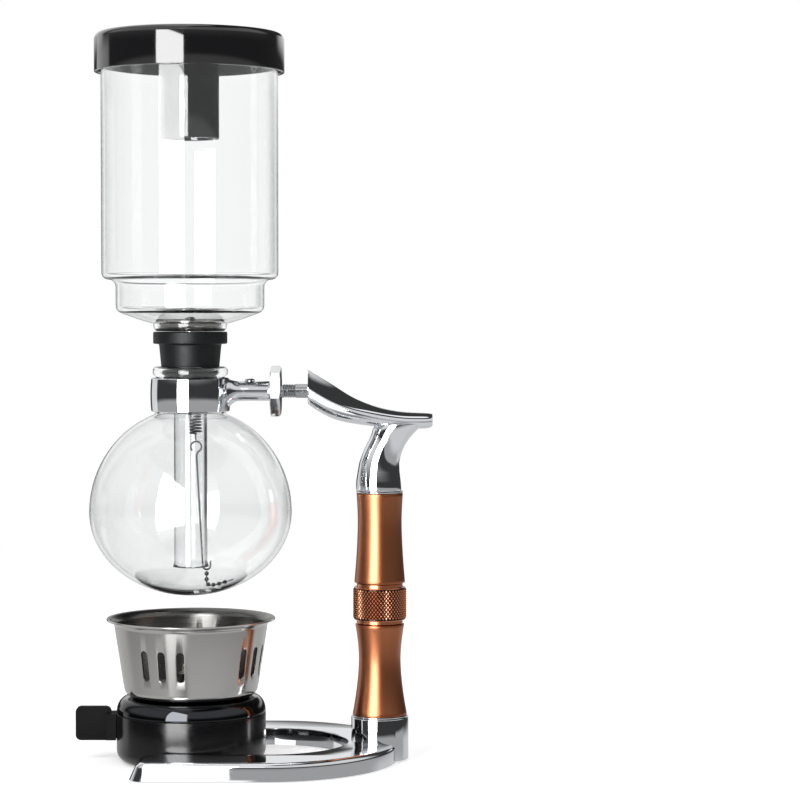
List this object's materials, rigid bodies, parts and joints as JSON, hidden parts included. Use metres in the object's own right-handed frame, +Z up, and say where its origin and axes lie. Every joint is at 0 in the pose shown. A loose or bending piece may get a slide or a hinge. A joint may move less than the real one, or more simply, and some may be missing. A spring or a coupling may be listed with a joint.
{
  "type": "siphon coffee maker",
  "caption": "Vacuum siphon coffee maker: glass globe and lidded upper chamber on a chromed stand with a copper grip, over a wick burner with a slotted windscreen.",
  "frame": {"origin": "on the table, at the centre of the burner tank's underside, on the common axis of the burner, the globe and the upper chamber", "axes": "+Z up along the glassware's axis, +X from that axis to the stand's column, -Y the front seen in the picture"},
  "size_m": [0.1742, 0.1248, 0.3535],
  "materials": {
    "chrome": "polished",
    "black_chrome": "polished black plating",
    "stainless": "fine brushed",
    "steel": "bright",
    "copper_aluminium": "satin copper anodised",
    "glass": "clear",
    "rubber": "satin",
    "gloss_black": "gloss",
    "matt_black": "matt",
    "cotton": "braided cotton",
    "cloth": "flannel"
  },
  "bodies": {
    "stand": {"base_casting": "chrome", "foot_pad_1": "rubber", "foot_pad_2": "rubber", "foot_pad_3": "rubber", "foot_pad_4": "rubber", "tie_rod": "steel", "tie_nut": "steel", "seat_ring_lower": "chrome", "grip_lower": "copper_aluminium", "grip_knurled_ring": "copper_aluminium", "grip_upper": "copper_aluminium", "seat_ring_upper": "chrome", "arm_casting": "chrome"},
    "globe_clamp": {"threaded_stud": "steel", "clamp_collar": "chrome", "clamp_screw": "steel", "collar_liner": "rubber", "globe": "glass"},
    "lock_nut": {"lock_nut": "chrome"},
    "upper_chamber": {"chamber_glass": "glass", "stopper": "rubber", "filter_cloth": "cloth", "filter_disc": "stainless", "filter_hub": "steel", "filter_spring": "steel", "bead_chain": "steel"},
    "filter_hook": {"hook_wire": "steel"},
    "lid": {"lid_cap": "gloss_black", "lid_socket": "gloss_black"},
    "burner": {"burner_tank": "gloss_black", "burner_shoulder": "black_chrome", "wick_holder": "stainless"},
    "windscreen": {"windscreen": "stainless"},
    "flame_lever": {"flame_lever": "matt_black"},
    "wick_carrier": {"wick_tube": "stainless", "wick": "cotton"}
  },
  "joints": [
    {"name": "globe_tilt", "type": "hinge", "parent": "stand", "child": "globe_clamp", "pos_m": [0.0572, 0, 0.1804], "axis": [1, 0, 0], "range_deg": [-15, 15]},
    {"name": "lock_nut_turn", "type": "hinge", "parent": "globe_clamp", "child": "lock_nut", "pos_m": [0.0391, 0, 0.1804], "axis": [1, 0, 0], "range_deg": [0, 360]},
    {"name": "chamber_lift", "type": "slide", "parent": "globe_clamp", "child": "upper_chamber", "axis": [0, 0, 1], "range_m": [0, 0.112]},
    {"name": "filter_pull", "type": "slide", "parent": "upper_chamber", "child": "filter_hook", "axis": [0, 0, -1], "range_m": [0, 0.003], "stiffness_N_per_m": 100, "springref_m": -0.01, "deforming": ["filter_spring", "bead_chain"]},
    {"name": "lid_lift", "type": "slide", "parent": "upper_chamber", "child": "lid", "axis": [0, 0, 1], "range_m": [0, 0.052]},
    {"name": "burner_slide", "type": "slide", "parent": "stand", "child": "burner", "axis": [-1, 0, 0], "range_m": [0, 0.12]},
    {"name": "windscreen_lift", "type": "slide", "parent": "burner", "child": "windscreen", "axis": [0, 0, 1], "range_m": [0, 0.012]},
    {"name": "lever_turn", "type": "hinge", "parent": "burner", "child": "flame_lever", "pos_m": [0, 0, 0.0173], "axis": [0, 0, 1], "range_deg": [-60.2, 0]},
    {"name": "wick_lift", "type": "slide", "parent": "burner", "child": "wick_carrier", "axis": [0, 0, 1], "range_m": [0, 0.005]}
  ],
  "couplings": [
    {"joint": "lever_turn", "follows": "wick_lift", "rad_per_m": -209.64}
  ]
}
